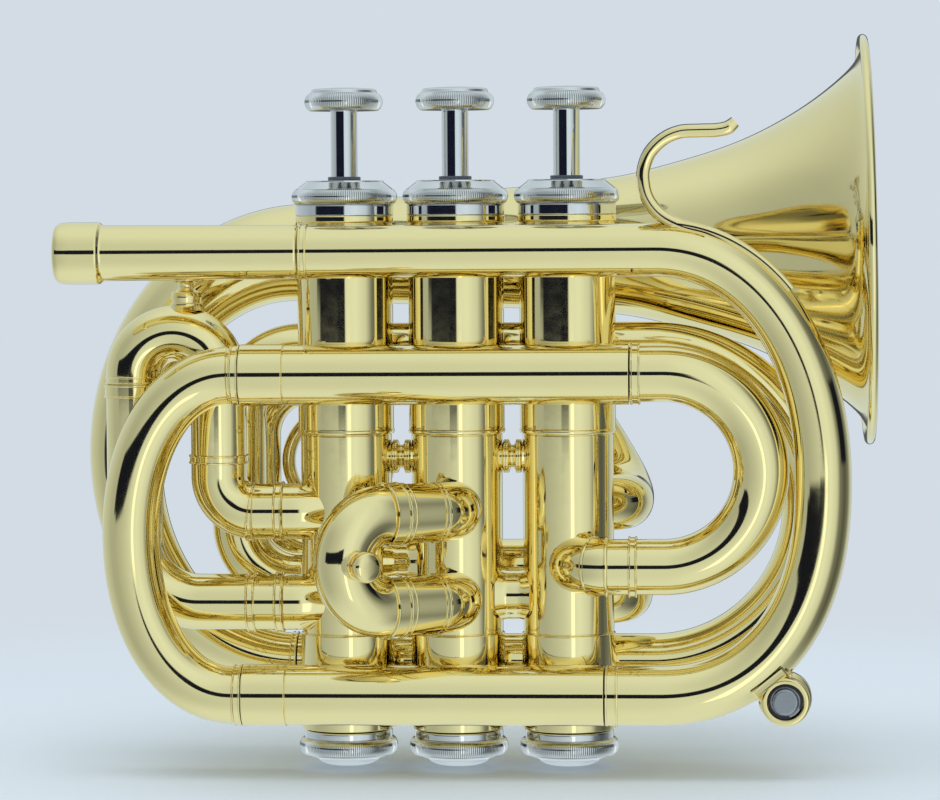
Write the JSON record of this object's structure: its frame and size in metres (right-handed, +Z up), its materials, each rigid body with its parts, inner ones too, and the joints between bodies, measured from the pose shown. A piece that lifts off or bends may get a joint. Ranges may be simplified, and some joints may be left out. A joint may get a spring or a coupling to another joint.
{
  "type": "pocket trumpet",
  "caption": "Compact coiled brass horn with piston valves, pull-out tuning slides, finger ring, pinky hook, push-type water key and a flared bell.",
  "frame": {"origin": "on the middle valve's axis, half way up its casing, where the left hand grips the casings", "axes": "+X towards the bell's mouth, +Y towards the bell's side of the casings (the leadpipe is on -Y), +Z up to the finger buttons"},
  "size_m": [0.1856, 0.1197, 0.1683],
  "materials": {
    "lacquered_brass": "mirror-polished under clear lacquer",
    "nickel": "bright nickel plate, knurled edges",
    "steel": "bright spring wire",
    "felt": "pressed felt"
  },
  "bodies": {
    "instrument": {"mouthpiece_receiver": "lacquered_brass", "leadpipe": "lacquered_brass", "main_slide_outer_leg_upper": "lacquered_brass", "main_slide_outer_leg_lower": "lacquered_brass", "valve_inlet_bow": "lacquered_brass", "valve_casing_1": "lacquered_brass", "valve_casing_2": "lacquered_brass", "valve_casing_3": "lacquered_brass", "top_cap_1": "nickel", "top_cap_2": "nickel", "top_cap_3": "nickel", "bottom_cap_1": "nickel", "bottom_cap_2": "nickel", "bottom_cap_3": "nickel", "stem_felt_1": "felt", "stem_felt_2": "felt", "stem_felt_3": "felt", "crossover_tube_1_2": "lacquered_brass", "crossover_tube_2_3": "lacquered_brass", "first_slide_upper_tube": "lacquered_brass", "first_slide_lower_tube": "lacquered_brass", "second_slide_upper_tube": "lacquered_brass", "second_slide_lower_tube": "lacquered_brass", "third_slide_upper_tube": "lacquered_brass", "third_slide_lower_tube": "lacquered_brass", "bell_coil": "lacquered_brass", "bell_tail_bow": "lacquered_brass", "bell": "lacquered_brass", "bell_brace": "lacquered_brass", "pinky_hook": "lacquered_brass", "water_key_body": "lacquered_brass", "water_key_clip": "steel", "water_key_spring": "steel", "valve_guide_1": "lacquered_brass", "valve_guide_2": "lacquered_brass", "valve_guide_3": "lacquered_brass", "valve_spring_1": "steel", "valve_spring_2": "steel", "valve_spring_3": "steel"},
    "valve_1": {"valve_piston_1": "nickel", "inner_felt_1": "felt", "valve_stem_1": "nickel", "finger_button_1": "nickel"},
    "valve_2": {"valve_piston_2": "nickel", "inner_felt_2": "felt", "valve_stem_2": "nickel", "finger_button_2": "nickel"},
    "valve_3": {"valve_piston_3": "nickel", "inner_felt_3": "felt", "valve_stem_3": "nickel", "finger_button_3": "nickel"},
    "main_tuning_slide": {"main_slide": "lacquered_brass"},
    "first_slide": {"first_slide_crook": "lacquered_brass", "first_slide_knob": "lacquered_brass"},
    "second_slide": {"second_slide_crook": "lacquered_brass", "second_slide_knob": "lacquered_brass"},
    "third_slide": {"third_slide_crook": "lacquered_brass", "third_slide_finger_ring": "lacquered_brass"},
    "water_key": {"water_key_plunger": "nickel"}
  },
  "joints": [
    {"name": "valve_1_press", "type": "slide", "parent": "instrument", "child": "valve_1", "axis": [0, 0, -1], "range_m": [0, 0.015], "stiffness_N_per_m": 130, "springref_m": -0.012, "deforming": ["valve_spring_1"]},
    {"name": "valve_2_press", "type": "slide", "parent": "instrument", "child": "valve_2", "axis": [0, 0, -1], "range_m": [0, 0.015], "stiffness_N_per_m": 130, "springref_m": -0.012, "deforming": ["valve_spring_2"]},
    {"name": "valve_3_press", "type": "slide", "parent": "instrument", "child": "valve_3", "axis": [0, 0, -1], "range_m": [0, 0.015], "stiffness_N_per_m": 130, "springref_m": -0.012, "deforming": ["valve_spring_3"]},
    {"name": "main_slide_pull", "type": "slide", "parent": "instrument", "child": "main_tuning_slide", "axis": [-1, 0, 0], "range_m": [0, 0.025]},
    {"name": "first_slide_pull", "type": "slide", "parent": "instrument", "child": "first_slide", "axis": [0, 0, 1], "range_m": [0, 0.01]},
    {"name": "second_slide_pull", "type": "slide", "parent": "instrument", "child": "second_slide", "axis": [-0.8192, -0.5736, 0], "range_m": [0, 0.007]},
    {"name": "third_slide_pull", "type": "slide", "parent": "instrument", "child": "third_slide", "axis": [-1, 0, 0], "range_m": [0, 0.01]},
    {"name": "water_key_press", "type": "slide", "parent": "instrument", "child": "water_key", "axis": [0, 1, 0], "range_m": [0, 0.002], "stiffness_N_per_m": 400, "springref_m": -0.003, "deforming": ["water_key_spring"]}
  ]
}
